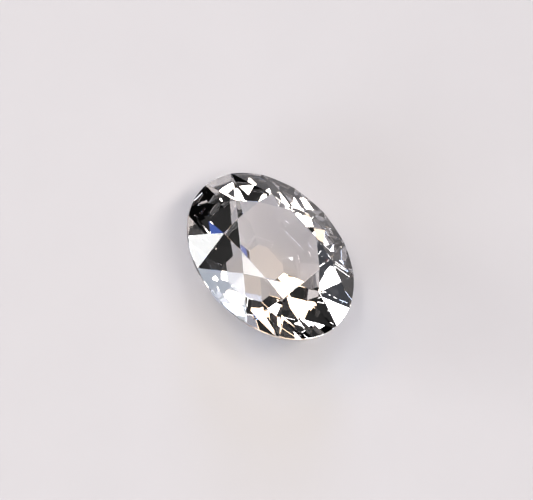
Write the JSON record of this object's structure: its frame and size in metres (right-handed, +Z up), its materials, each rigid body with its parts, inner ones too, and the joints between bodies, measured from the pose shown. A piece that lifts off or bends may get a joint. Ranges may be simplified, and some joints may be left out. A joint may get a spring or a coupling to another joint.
{
  "type": "cut topaz",
  "caption": "Colourless topaz cut as a faceted oval brilliant, standing table up on the small flat facet at its point.",
  "frame": {"origin": "centre of the small flat facet at the stone's point, which is also the bottom centre of its box", "axes": "+Z up through the middle of the table, +X along the long axis of the oval girdle, +Y along its short axis"},
  "size_m": [0.013, 0.01, 0.0061],
  "materials": {
    "crystal": "polished clear crystal"
  },
  "bodies": {
    "root": {"topaz": "crystal"}
  },
  "joints": []
}
